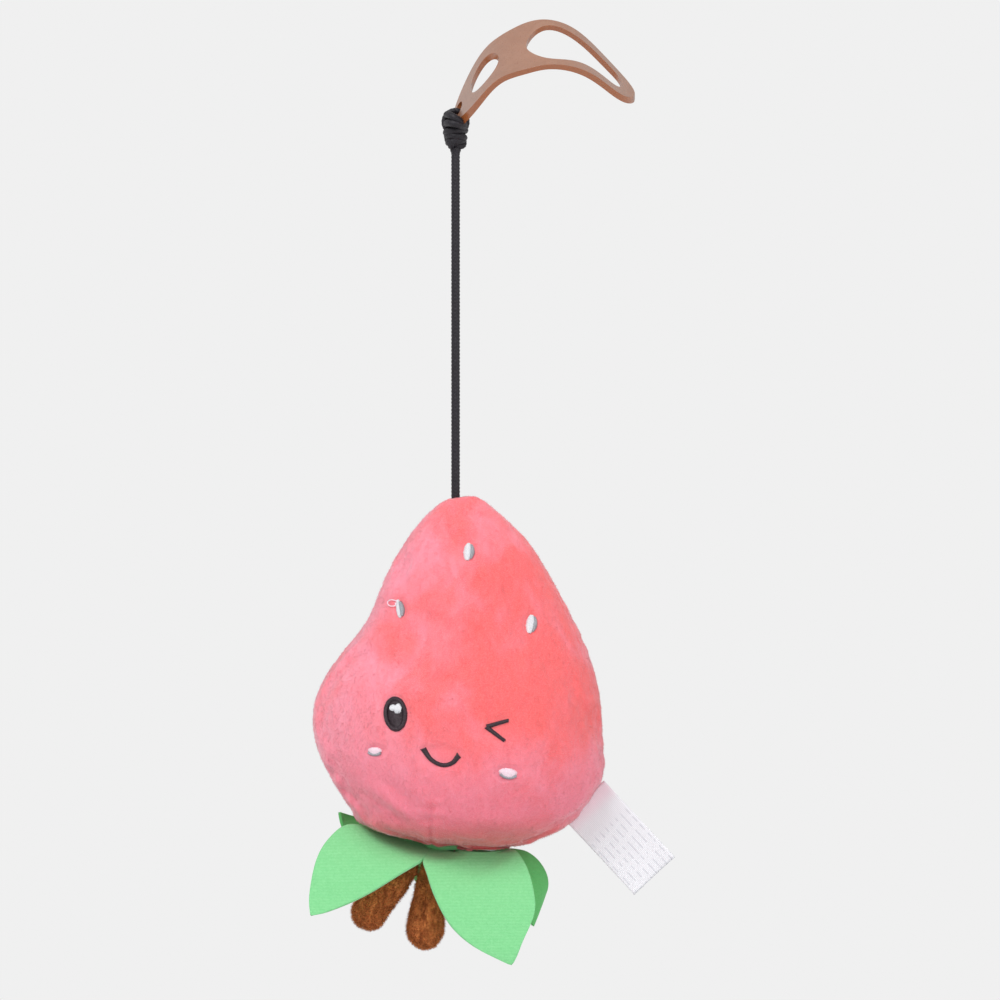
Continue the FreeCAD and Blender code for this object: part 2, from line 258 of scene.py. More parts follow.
class Material:
    """A node material, made by short calls that each return an output socket."""

    def __init__(self, name):
        self.material = bpy.data.materials.new(name)
        self.material.use_nodes = True
        self.tree = self.material.node_tree
        self.shader = self.tree.nodes["Principled BSDF"]

    def node(self, kind, inputs=None, **settings):
        made = self.tree.nodes.new("ShaderNode" + kind)
        for key, value in settings.items():
            setattr(made, key, value)
        for key, value in (inputs or {}).items():
            if isinstance(value, bpy.types.NodeSocket):
                self.tree.links.new(value, made.inputs[key])
            else:
                made.inputs[key].default_value = value
        return made

    def rest(self, stretch=(1, 1, 1)):
        """The place at rest, in metres, which stays with the surface when the piece bends."""
        place = self.node("Attribute", attribute_name="rest").outputs["Vector"]
        return self.node("VectorMath", {0: place, 1: stretch}, operation="MULTIPLY").outputs[0]

    def noise(self, place, size, detail=2.0, rough=0.5, distortion=0.0):
        """Noise from 0 to 1, its bumps about size millimetres across."""
        scale = 1 / (size * MM)
        made = self.node("TexNoise", {"Vector": place, "Scale": scale, "Detail": detail,
                                      "Roughness": rough, "Distortion": distortion})
        return made.outputs["Fac"]

    def slope(self, value, low, high, to_low=0.0, to_high=1.0):
        """value from low..high turned into to_low..to_high, with soft ends."""
        made = self.node("MapRange", {"Value": value, "From Min": low, "From Max": high,
                                      "To Min": to_low, "To Max": to_high}, interpolation_type="SMOOTHSTEP")
        return made.outputs["Result"]

    def sum(self, a, b, factor=1.0):
        """a + b * factor"""
        return self.node("Math", {0: b, 1: factor, 2: a}, operation="MULTIPLY_ADD").outputs[0]

    def axis(self, place, name):
        return self.node("SeparateXYZ", {0: place}).outputs[name]

    def mix(self, factor, a, b):
        """Colour a at factor 0, b at 1."""
        made = self.node("Mix", data_type="RGBA")
        for socket, value in ((made.inputs["Factor"], factor), (made.inputs[6], a), (made.inputs[7], b)):
            if isinstance(value, bpy.types.NodeSocket):
                self.tree.links.new(value, socket)
            else:
                socket.default_value = value if isinstance(value, float) else (*value, 1.0)
        return made.outputs[2]

    def bump(self, height, depth, strength=1.0):
        """A normal from a height of 0 to 1 that stands for depth millimetres."""
        made = self.node("Bump", {"Height": height, "Distance": depth * MM, "Strength": strength})
        return made.outputs["Normal"]

    def finish(self, colour, roughness, normal=None, **fixed):
        """Sets the shader: colour, roughness and normal may be sockets, the others are plain values."""
        for key, value in (("Base Color", colour), ("Roughness", roughness), ("Normal", normal)):
            if isinstance(value, bpy.types.NodeSocket):
                self.tree.links.new(value, self.shader.inputs[key])
            elif value is not None:
                self.shader.inputs[key].default_value = (*value, 1.0) if key == "Base Color" else value
        for key, value in fixed.items():
            socket = self.shader.inputs[key.replace("_", " ")]
            socket.default_value = (*value, 1.0) if isinstance(value, tuple) and len(value) == 3 \
                and socket.type == "RGBA" else value
        return self.material


def plush_pink():
    """Short pile, brushed this way and that, so that it shows pink or coral in soft patches."""
    m = Material("plush_pink")
    place = m.rest()
    patches = m.noise(m.rest((1.0, 1.0, 0.62)), 15, detail=2.5, rough=0.55, distortion=0.5)
    to_right = m.slope(m.axis(place, "X"), -0.066, 0.018)
    lower = m.slope(m.axis(place, "Z"), -0.222, -0.252)
    from_belly = m.node("VectorMath", {0: place, 1: (-0.014, -0.022, -0.205)}, operation="DISTANCE")
    belly = m.slope(from_belly.outputs["Value"], 0.048, 0.012)
    coral = m.sum(m.sum(m.sum(patches, to_right, 0.34), belly, 0.13), lower, -0.26)
    base = m.mix(m.slope(coral, 0.38, 0.98), (0.95, 0.31, 0.40), (0.97, 0.150, 0.150))
    # Painted shade: the lower body is painted darker and deeper pink towards the bottom, and a dark shaded
    # brownish red at the rim where it turns under above the felt.
    base = m.mix(m.slope(m.axis(place, "Z"), -0.225, -0.258, 0.0, 0.7), base, (0.86, 0.20, 0.28))
    base = m.mix(m.slope(m.axis(place, "Z"), -0.254, -0.267, 0.0, 0.8), base, (0.62, 0.11, 0.085))
    streaks = m.noise(m.rest((1.0, 1.0, 0.35)), 2.2, detail=3, rough=0.6)
    base = m.mix(m.slope(streaks, 0.32, 0.72, 0.0, 0.22), base, (0.80, 0.13, 0.17))
    fibres = m.noise(place, 0.45, detail=2)
    base = m.mix(m.slope(fibres, 0.3, 0.75, 0.0, 0.16), base, (1.0, 0.46, 0.50))
    normal = m.bump(fibres, 0.25, 0.55)
    return m.finish(base, 0.88, normal, Sheen_Weight=0.62, Sheen_Roughness=0.4,
                    Sheen_Tint=(1.0, 0.82, 0.88), Specular_IOR_Level=0.25, Subsurface_Weight=0.3,
                    Subsurface_Radius=(1.0, 0.5, 0.45), Subsurface_Scale=0.0025)


def plush_brown():
    m = Material("plush_brown")
    place = m.rest()
    tufts = m.noise(m.rest((1.0, 1.0, 0.5)), 1.6, detail=3, rough=0.65)
    base = m.mix(m.slope(tufts, 0.32, 0.70), (0.36, 0.088, 0.022), (0.80, 0.280, 0.088))
    fibres = m.noise(place, 0.35, detail=2)
    base = m.mix(m.slope(fibres, 0.4, 0.8, 0.0, 0.35), base, (0.85, 0.36, 0.14))
    return m.finish(base, 0.9, m.bump(fibres, 0.2, 0.6), Sheen_Weight=0.15, Sheen_Roughness=0.45,
                    Sheen_Tint=(1.0, 0.6, 0.35), Specular_IOR_Level=0.15)


def felt_green():
    """Pressed felt: short matted fibres, with the faint ribs of the press."""
    m = Material("felt_green")
    place = m.rest()
    matted = m.noise(place, 1.1, detail=4, rough=0.7, distortion=0.8)
    base = m.mix(m.slope(matted, 0.25, 0.78), (0.205, 0.63, 0.262), (0.262, 0.70, 0.320))
    fibres = m.noise(m.rest((1.0, 1.0, 2.4)), 0.35, detail=3, rough=0.6)
    base = m.mix(m.slope(fibres, 0.45, 0.8, 0.0, 0.3), base, (0.40, 0.83, 0.46))
    ribs = m.node("TexWave", {"Vector": place, "Scale": 314.0, "Distortion": 0.6, "Detail": 1.0},
                  bands_direction="Z").outputs["Fac"]
    base = m.mix(m.slope(ribs, 0.0, 1.0, 0.0, 0.14), base, (0.15, 0.55, 0.20))
    # Painted shade: felt further back, the rear wedges and the back of the star's middle, is painted a
    # darker, deeper green for the shade under the body.
    behind = m.slope(m.axis(place, "Y"), SEAM_Y * MM - 0.008, SEAM_Y * MM + 0.004, 0.0, 0.8)
    base = m.mix(behind, base, (0.085, 0.44, 0.10))
    height = m.sum(matted, ribs, 0.25)
    return m.finish(base, 0.92, m.bump(height, 0.25, 0.5), Sheen_Weight=0.3, Sheen_Roughness=0.5,
                    Sheen_Tint=(0.8, 1.0, 0.8), Specular_IOR_Level=0.2)


def cord_black():
    m = Material("cord_black")
    strands = m.noise(m.rest(), 0.22, detail=2)
    base = m.mix(m.slope(strands, 0.35, 0.75), (0.005, 0.004, 0.006), (0.030, 0.026, 0.036))
    return m.finish(base, 0.5, m.bump(strands, 0.08, 0.6), Sheen_Weight=0.06, Sheen_Roughness=0.4,
                    Specular_IOR_Level=0.35)


def clip_plastic():
    """Moulded satin plastic, with the faint flow marks and scuffs of a cheap moulding, and painted shade on
    the faces that point down.
    """
    m = Material("clip_plastic")
    place = m.node("TexCoord").outputs["Object"]
    flow = m.noise(place, 9, detail=3, rough=0.6, distortion=1.5)
    base = m.mix(m.slope(flow, 0.3, 0.7), (0.325, 0.150, 0.088), (0.36, 0.175, 0.108))
    # Painted shade: faces that point down are painted a darker, deeper orange-brown, for the shade under the
    # arms and tab.
    painted_shade_below = m.axis(m.node("TexCoord").outputs["Normal"], "Z")
    base = m.mix(m.slope(painted_shade_below, 0.30, -0.50, 0.0, 0.9), base, (0.35, 0.098, 0.022))
    scuffs = m.noise(place, 0.5, detail=3, rough=0.7)
    rough = m.slope(scuffs, 0.3, 0.75, 0.26, 0.40)
    return m.finish(base, rough, m.bump(scuffs, 0.03, 0.3), Coat_Weight=1.0, Coat_Roughness=0.2,
                    Subsurface_Weight=0.08, Subsurface_Radius=(0.004, 0.002, 0.001))


def thread(name, dark, light, gloss):
    """Rayon embroidery thread: a sheen along each stitch, and its twist."""
    m = Material(name)
    twist = m.noise(m.rest(), 0.3, detail=2)
    base = m.mix(m.slope(twist, 0.35, 0.7), dark, light)
    return m.finish(base, gloss, m.bump(twist, 0.05, 0.5), Sheen_Weight=0.15, Sheen_Roughness=0.3)


def fibre_fill():
    m = Material("fibre_fill")
    wool = m.noise(m.rest(), 2.5, detail=5, rough=0.75, distortion=1.2)
    base = m.mix(m.slope(wool, 0.3, 0.7), (0.72, 0.71, 0.69), (0.92, 0.92, 0.91))
    return m.finish(base, 0.95, m.bump(wool, 1.2, 0.8), Sheen_Weight=0.3)


def satin_white(root, along, side):
    """A woven satin ribbon, printed with plain grey rules. It takes some pink beside the plush."""
    m = Material("satin_white")
    place = m.rest()
    from_root = m.node("VectorMath", {0: place, 1: tuple(root * MM)}, operation="SUBTRACT").outputs[0]
    down = m.node("VectorMath", {0: from_root, 1: tuple(along)}, operation="DOT_PRODUCT").outputs["Value"]
    over = m.node("VectorMath", {0: from_root, 1: tuple(side)}, operation="DOT_PRODUCT").outputs["Value"]
    ribbon = m.node("CombineXYZ", {0: down, 1: over}).outputs[0]
    threads = m.node("TexWave", {"Vector": ribbon, "Scale": 600.0, "Distortion": 0.4, "Detail": 1.0},
                     bands_direction="Y").outputs["Fac"]
    base = m.mix(m.slope(threads, 0.2, 0.9), (0.75, 0.75, 0.79), (0.88, 0.88, 0.92))
    rules = m.node("TexWave", {"Vector": ribbon, "Scale": 130.0}, bands_direction="Y").outputs["Fac"]
    rules = m.slope(rules, 0.86, 0.93)
    words = m.slope(m.noise(m.node("VectorMath", {0: ribbon, 1: (1, 0.25, 0)},
                                   operation="MULTIPLY").outputs[0], 2.6, detail=0.0), 0.42, 0.47)
    from_end = m.slope(down, 0.008, 0.010)
    printed = m.node("Math", {0: rules, 1: words}, operation="MULTIPLY").outputs[0]
    printed = m.node("Math", {0: printed, 1: from_end}, operation="MULTIPLY").outputs[0]
    base = m.mix(m.node("Math", {0: printed, 1: 0.30}, operation="MULTIPLY").outputs[0],
                 base, (0.35, 0.35, 0.42))
    base = m.mix(m.slope(down, 0.005, -0.001, 0.0, 0.5), base, (0.90, 0.62, 0.72))
    return m.finish(base, 0.38, m.bump(threads, 0.05, 0.4), Sheen_Weight=0.3, Sheen_Roughness=0.3,
                    Subsurface_Weight=0.15, Subsurface_Radius=(0.002, 0.002, 0.002))


# ---- cord and knot ----

CORD_R = 1.5
LOOP_R = 3.9                                # the loop through the clip's tab
KNOT_STRAND_R = 1.1
MOUTH_R = 1.9                               # round the joint, so that it covers the cord's end as it sways


def spline_line(control_points):
    """The points of a smooth spline with these control points, read back from Blender."""
    curve = bpy.data.curves.new("line", "CURVE")
    curve.dimensions = "3D"
    spline = curve.splines.new("NURBS")
    spline.points.add(len(control_points) - 1)
    for point, place in zip(spline.points, control_points):
        point.co = (*(np.asarray(place) * MM), 1.0)
    spline.order_u = 3
    spline.use_endpoint_u = True
    spline.resolution_u = 48
    holder = bpy.data.objects.new("line", curve)
    bpy.context.scene.collection.objects.link(holder)
    bpy.context.view_layer.update()
    seen = holder.evaluated_get(bpy.context.evaluated_depsgraph_get())
    mesh = bpy.data.meshes.new_from_object(seen)
    line = np.array([vertex.co for vertex in mesh.vertices]) / MM
    bpy.data.objects.remove(holder)
    bpy.data.meshes.remove(mesh)
    return line


def braided(line, radius, strands, pitch, sides=32, step=0.3):
    """A braided cord along a line: two families of strands that wind opposite ways, over and under."""
    path = evenly(line, max(3, round(run_along(line)[-1] / step) + 1))
    reach = run_along(path)[:, None]
    angle = (np.arange(sides) * (2 * math.pi / sides))[None, :]
    right = strands * angle + reach * (2 * math.pi * strands / pitch)
    left = strands * angle - reach * (2 * math.pi * strands / pitch)
    over = soft_step(np.sin((right + left) / 2) * np.sin((right - left) / 2), -0.4, 0.4)
    height = np.abs(np.cos(right / 2)) * over + np.abs(np.cos(left / 2)) * (1 - over)
    scale = np.asarray(radius)[:, None] if np.ndim(radius) == 1 else radius
    return tube(path, scale * (0.90 + 0.14 * height), sides)


CORD_ROUTE = [CORD_END, CORD_ENTRY, (CORD_ENTRY + KNOT_BASE) / 2, KNOT_BASE]


def make_cord(material):
    line = spline_line(CORD_ROUTE)
    points, faces = braided(line, CORD_R, 4, 5.2)
    cord = mesh_piece("cord_braid", points, faces, material)
    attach(cord, "cord")
    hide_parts("cord")
    return cord, line


# The turns round the tab's end and below it: height from the loop's middle, how far the left side is
# higher, and the half sizes across and deep. The first two go round the tab, as deep as it needs.
KNOT_WRAPS = [(0.6, 1.8, 3.0, None), (-1.4, 0.7, 3.1, None), (-3.3, -0.4, 3.2, 4.4), (-5.1, 0.4, 2.9, 3.6),
              (-6.9, -0.3, 2.4, 2.8)]


def make_knot(material):
    """The loop through the tab, and below it the cord wound and drawn tight."""
    parts = Parts()
    turn = np.linspace(0, 2 * math.pi, 120)
    ring = LOOP + np.stack([LOOP_R * np.sin(turn), 0 * turn, LOOP_R * np.cos(turn)], axis=1)
    parts.add(*braided(ring, 1.05, 4, 4.4, sides=20))
    clip = np.array([vertex.co for vertex in frame["nodes"]["hanger_clip"].data.vertices]) / MM - LOOP
    tab_half = np.abs(clip[np.linalg.norm(clip[:, [0, 2]], axis=1) < 2.6][:, 1]).max()
    for height, tilt, wide, deep in KNOT_WRAPS:
        deep = deep or tab_half + KNOT_STRAND_R + 0.4
        wrap = LOOP + np.stack([wide * np.cos(turn), deep * np.sin(turn), height - tilt * np.cos(turn)],
                               axis=1)
        parts.add(*braided(wrap, KNOT_STRAND_R * 1.15, 4, 4.4, sides=20))
    top = LOOP[2] - 2.45
    half = (top - KNOT_BASE[2]) / 2
    centre = np.array([LOOP[0], LOOP[1], top - half])
    turn = np.linspace(0, 2 * math.pi, 400)
    out = 1.95 + 1.15 * np.cos(3 * turn)
    wound = centre + np.stack([out * np.cos(2 * turn + 0.6), out * np.sin(2 * turn + 0.6),
                               (half - KNOT_STRAND_R) * np.sin(3 * turn)], axis=1)
    parts.add(*braided(wound, KNOT_STRAND_R, 4, 4.4, sides=20))
    core = np.linspace(-1, 1, 12)
    line = centre + np.outer(core, (0, 0, half - 0.5))
    parts.add(*tube(line, 3.3 * np.sqrt(np.maximum(1 - core ** 2, 0.02)), 20))
    rise = np.cos(np.linspace(math.pi, 0, 15))
    parts.add(*tube(KNOT_BASE + np.outer(rise, (0, 0, MOUTH_R)),
                    MOUTH_R * np.sqrt(np.maximum(1 - rise ** 2, 0.003)), 20))
    knot = parts.piece("cord_knot_strands", material)
    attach(knot, "knot")
    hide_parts("cord_knot")
    return knot


# ---- clip ----


def finish_clip(material):
    """The clip's edges get the small rounds of a moulding."""
    clip = frame["nodes"]["hanger_clip"]
    weld = clip.modifiers.new("weld", "WELD")
    weld.merge_threshold = 0.02 * MM
    bevel = clip.modifiers.new("bevel", "BEVEL")
    bevel.width = 0.8 * MM
    bevel.segments = 4
    bevel.limit_method = "ANGLE"
    bevel.angle_limit = math.radians(30)
    clip.modifiers.new("normals", "WEIGHTED_NORMAL").keep_sharp = False
    clip.data.materials.clear()
    clip.data.materials.append(material)


# ---- body ----

ROWS, COLUMNS = 44, 72                      # of the body's coarse grid
FINE_ROWS, FINE_COLUMNS = 7, 8              # fine steps to each coarse one
FAR = 200.0                                 # well clear of the toy, where rays towards it start
BODY_MIDDLE = np.array([-17.5, SEAM_Y, -235.0])     # inside the wide lower part
SEAM_TURN_X = -18.0                         # right of this the side seam puckers lower down
STUFFING_GAP = 8.5                          # from the anchor knot's joint down to the stuffing
PILE_COUNT, PILE_SEED = 45000, 71           # of each panel


def ellipse_rows():
    """The body's outline at each height, as a grid of points. Rows run down, columns run round from
    the right seam by way of the back."""
    node = frame["nodes"]["front_panel"].data
    skin = tree_of([vertex.co / MM for vertex in node.vertices], [tuple(p.vertices) for p in node.polygons])
    low, high = cad_box("front_panel")
    turn = np.linspace(0, math.pi, ROWS + 2)[1:-1]
    heights = high[2] - (high[2] - low[2]) * (1 - np.cos(turn)) / 2
    near_seam = SEAM_Y - 0.3
    angle = np.arange(COLUMNS) * (2 * math.pi / COLUMNS)
    rows = []
    for z in heights:
        left = skin.ray_cast(Vector((-FAR, near_seam, z)), Vector((1, 0, 0)))[0]
        right = skin.ray_cast(Vector((FAR, near_seam, z)), Vector((-1, 0, 0)))[0]
        middle, half = (left.x + right.x) / 2, (right.x - left.x) / 2
        front = skin.ray_cast(Vector((middle, -FAR, z)), Vector((0, 1, 0)))[0]
        deep = SEAM_Y - front.y
        rows.append(np.stack([middle + half * np.cos(angle), SEAM_Y + deep * np.sin(angle),
                              np.full(COLUMNS, z)], axis=1))
    top = np.array([rows[0][:, 0].mean(), SEAM_Y, high[2]])
    bottom = np.array([rows[-1][:, 0].mean(), SEAM_Y, low[2]])
    return np.array(rows), top, bottom


def grid_normals(grid):
    """Outward normals of a grid that closes round."""
    along = np.gradient(grid, axis=0)
    around = np.roll(grid, -1, axis=1) - np.roll(grid, 1, axis=1)
    return unit(np.cross(along, around))


def closed_mesh(grid, top, bottom):
    rows, columns = grid.shape[:2]
    points = np.vstack([grid.reshape(-1, 3), top, bottom])
    faces = grid_faces(rows, columns, closed=True)
    last = (rows - 1) * columns
    for j in range(columns):
        faces.append((rows * columns, (j + 1) % columns, j))
        faces.append((rows * columns + 1, last + j, last + (j + 1) % columns))
    return points, faces


def stuffed_offsets(grid, normals, top, bottom):
    """How far each point of the body moves when the sewn skin is filled, from a cloth simulation."""
    shrink, most = 1.2, 0.55
    smaller = grid - normals * shrink
    points, faces = closed_mesh(smaller, top - (0, 0, shrink), bottom + (0, 0, shrink))
    piece = mesh_piece("filling", points, faces, None)
    remesh = piece.modifiers.new("remesh", "REMESH")
    remesh.mode = "VOXEL"
    remesh.voxel_size = 4 * MM
    apply_modifiers(piece)
    places = np.array([vertex.co for vertex in piece.data.vertices]) / MM
    seam = piece.vertex_groups.new(name="seam")
    seam.add(np.nonzero(np.abs(places[:, 1] - SEAM_Y) < 3.5)[0].tolist(), 1.0, "REPLACE")
    cloth = piece.modifiers.new("cloth", "CLOTH")
    cloth.settings.use_pressure = True
    cloth.settings.uniform_pressure_force = 4
    cloth.settings.vertex_group_shrink = "seam"
    cloth.settings.shrink_min = 0.0
    cloth.settings.shrink_max = 0.10
    cloth.settings.effector_weights.gravity = 0
    scene = bpy.context.scene
    for number in range(1, 21):
        scene.frame_set(number)
    apply_modifiers(piece)
    scene.frame_set(1)
    filled = tree_of([vertex.co / MM for vertex in piece.data.vertices],
                     [tuple(p.vertices) for p in piece.data.polygons])
    bpy.data.objects.remove(piece)
    reach = 9.0
    offsets = np.zeros(grid.shape[:2])
    for i, j in np.ndindex(offsets.shape):
        start = Vector(grid[i, j] + normals[i, j] * reach)
        hit = filled.ray_cast(start, Vector(-normals[i, j]), 2 * reach)[3]
        offsets[i, j] = reach - hit if hit is not None else np.nan
    offsets = np.where(np.isnan(offsets), np.nanmedian(offsets), offsets)
    broad = offsets
    for _ in range(12):
        tall = np.concatenate([broad[:1], broad, broad[-1:]])
        broad = (2 * broad + tall[:-2] + tall[2:] + np.roll(broad, 1, 1) + np.roll(broad, -1, 1)) / 6
    off_seam = soft_step(np.abs(grid[..., 1] - SEAM_Y), 2.0, 11.0)
    return np.clip(0.55 * (offsets - broad), -most, most) * off_seam


def refined(grid, top, bottom):
    """A smooth fine grid through the coarse one, poles included."""
    half = COLUMNS // 2
    tall = np.concatenate([np.roll(grid[:1], half, axis=1), np.broadcast_to(top, (1, COLUMNS, 3)), grid,
                           np.broadcast_to(bottom, (1, COLUMNS, 3)), np.roll(grid[-1:], half, axis=1)])

    rows = [cubic(tall[:-3], tall[1:-2], tall[2:-1], tall[3:], t) for t in np.arange(FINE_ROWS) / FINE_ROWS]
    fine = np.stack(rows, axis=1).reshape(-1, COLUMNS, 3)
    fine = np.concatenate([fine, tall[-2][None]])
    before, after, beyond = np.roll(fine, 1, axis=1), np.roll(fine, -1, axis=1), np.roll(fine, -2, axis=1)
    columns = [cubic(before, fine, after, beyond, t) for t in np.arange(FINE_COLUMNS) / FINE_COLUMNS]
    return np.stack(columns, axis=2).reshape(len(fine), -1, 3)


def segment_distance(points, a, b):
    """Distance from points (x, z) to the run from a to b, and how far along it, from 0 to 1."""
    a, b = np.asarray(a, float), np.asarray(b, float)
    along = np.clip((points - a) @ (b - a) / ((b - a) @ (b - a)), 0, 1)
    return np.linalg.norm(points - a - along[:, None] * (b - a), axis=1), along


DART = ((-28.7, -246.5), (-29.0, -270.0))   # sewn tuck under the front
SOFT_FOLDS = [((-57, -247), (-34, -262), 2.6, 0.9), ((-46, -243), (-32, -257), 3.0, 0.6),
              ((-20, -262), (10, -265), 3.0, 0.4), ((6, -236), (22, -252), 3.5, 0.4)]
STITCHED = {"eye": 0.9, "wink": 0.6, "smile": 0.7, "cheek_left": 0.6, "cheek_right": 0.6, "seed_top": 0.7,
            "seed_left": 0.8, "seed_right": 0.7, "seed_back_top": 0.7, "seed_back_left": 0.7,
            "seed_back_right": 0.7}


def body_detail(points):
    """How far the plush stands proud at each point: seam, dart, soft folds, dips at the stitching, pile."""
    x, y, z = points.T
    front = y < SEAM_Y
    flat = points[:, [0, 2]]
    off_seam = np.abs(y - SEAM_Y)
    right = x > SEAM_TURN_X
    gathered = np.where(right, soft_step(z, -180, -198) * soft_step(z, -268, -258), soft_step(z, -236, -250))
    pucker = np.sin(z * (2 * math.pi / 6.5) + 2.6 * bumps(points, 9, 3)) * (0.6 + 0.5 * bumps(points, 17, 4))
    height = -0.9 * hill(off_seam, 1.2)
    height += (0.10 + 0.24 * gathered) * pucker * hill(off_seam, 5.5)
    height += 0.30 * gathered * bumps(points, (9, 5, 5), 5) * hill(off_seam, 12)
    gap, along = segment_distance(flat, *DART)
    deep = soft_step(along, 0.0, 0.35) * front
    height += -0.75 * deep * hill(gap, 1.0) + 0.3 * deep * hill(gap, 4.0)
    height += 0.18 * deep * hill(gap, 5.0) * np.sin(z * (2 * math.pi / 4.5))
    for start, end, width, depth in SOFT_FOLDS:
        gap, along = segment_distance(flat, start, end)
        shape = hill(gap, width) - 0.6 * hill(gap - 1.7 * width, width)
        height += -depth * front * shape * np.sin(math.pi * np.clip(along, 0.02, 0.98))
    height += 0.55 * bumps(points, 26, 11) + 0.24 * bumps(points, 10, 12)
    height += 0.11 * bumps(points, (1.5, 1.5, 2.4), 13) + 0.05 * bumps(points, 0.8, 14)
    for node, depth in STITCHED.items():
        low, high = cad_box(node)
        middle, size = (low + high) / 2, (high - low) / 2 + 1.1
        near = np.sqrt(((x - middle[0]) / size[0]) ** 2 + ((z - middle[2]) / size[2]) ** 2)
        same_side = front if middle[1] < SEAM_Y else ~front
        height -= depth * same_side * soft_step(near, 1.25, 0.55)
    gap = np.linalg.norm(points - CORD_ENTRY, axis=1)
    return height - 0.8 * hill(gap, 2.6)


def make_body(material, fill_material):
    grid, top, bottom = ellipse_rows()
    normals = grid_normals(grid)
    grid = grid + normals * stuffed_offsets(grid, normals, top, bottom)[..., None]
    fine = refined(grid, top, bottom)
    fine_normals = grid_normals(fine)
    fine_normals[0] = (0, 0, 1)
    fine_normals[-1] = (0, 0, -1)
    height = body_detail(fine.reshape(-1, 3)).reshape(fine.shape[:2])
    height[0] = height[0].mean()
    height[-1] = height[-1].mean()
    fine = fine + fine_normals * (height - 0.25)[..., None]
    half = fine.shape[1] // 2
    wrapped = np.concatenate([fine, fine[:, :1]], axis=1)
    panels = {}
    for name, columns in (("front_panel", slice(half, 2 * half + 1)), ("back_panel", slice(0, half + 1))):
        part = wrapped[:, columns]
        rows, count = part.shape[:2]
        faces = grid_faces(rows, count)
        panel = mesh_piece(name + "_plush", part.reshape(-1, 3), [face[::-1] for face in faces], material)
        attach(panel, "strawberry")
        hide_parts(name)
        panels[name] = tree_of(part.reshape(-1, 3), faces)
        wrapped_normals = np.concatenate([fine_normals, fine_normals[:, :1]], axis=1)[:, columns]
        make_pile(name + "_pile", part, wrapped_normals, material)
    inner = grid - grid_normals(grid) * 3.6
    inner += grid_normals(grid) * bumps(inner.reshape(-1, 3), 7, 21).reshape(ROWS, COLUMNS, 1) * 0.8
    hollow_z = CORD_END[2] - STUFFING_GAP   # leaves room above for the anchor knot
    inner[..., 2] = np.minimum(inner[..., 2], hollow_z)
    points, faces = closed_mesh(inner, (top[0], SEAM_Y, hollow_z), bottom + (0, 0, 4))
    fill = mesh_piece("stuffing_fill", points, faces, fill_material)
    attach(fill, "strawberry")
    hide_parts("stuffing")
    return panels


def scattered(grid, count, random):
    """count random points over a grid, evenly by area, and each one's row and column."""
    down, over = grid[1:, :-1] - grid[:-1, :-1], grid[:-1, 1:] - grid[:-1, :-1]
    area = np.linalg.norm(np.cross(down, over), axis=2)
    chosen = random.choice(area.size, count, p=(area / area.sum()).ravel())
    row, column = np.divmod(chosen, area.shape[1])
    u, v = random.random((2, count, 1))
    upper = grid[row, column] * (1 - v) + grid[row, column + 1] * v
    lower = grid[row + 1, column] * (1 - v) + grid[row + 1, column + 1] * v
    return upper * (1 - u) + lower * u, row, column


def make_pile(name, part, normals, material):
    """The short pile of one panel, brushed down and this way and that."""
    random = np.random.default_rng(PILE_SEED)
    place, row, column = scattered(part, PILE_COUNT, random)
    normal = normals[row, column]
    for x, z, wide, high in [oval_of(node) for node in STITCHED]:
        near = np.hypot((place[:, 0] - x) / (wide / 2 + 0.8), (place[:, 2] - z) / (high / 2 + 0.8))
        kept = near > 1
        place, normal = place[kept], normal[kept]
    comb = np.stack([bumps(place, 16, PILE_SEED + k) for k in (1, 2, 3)], axis=1) + (0, 0, -0.45)
    comb -= normal * (comb * normal).sum(axis=1, keepdims=True)
    lean = unit(0.55 * normal + 0.9 * unit(comb) + 0.32 * random.normal(size=place.shape))
    lengths = 0.5 + 0.5 * random.random((len(place), 1))
    pile = mesh_piece(name, *fibres(place - 0.1 * normal, lean, lengths, 0.07, normal), material)
    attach(pile, "strawberry")


# ---- embroidery ----


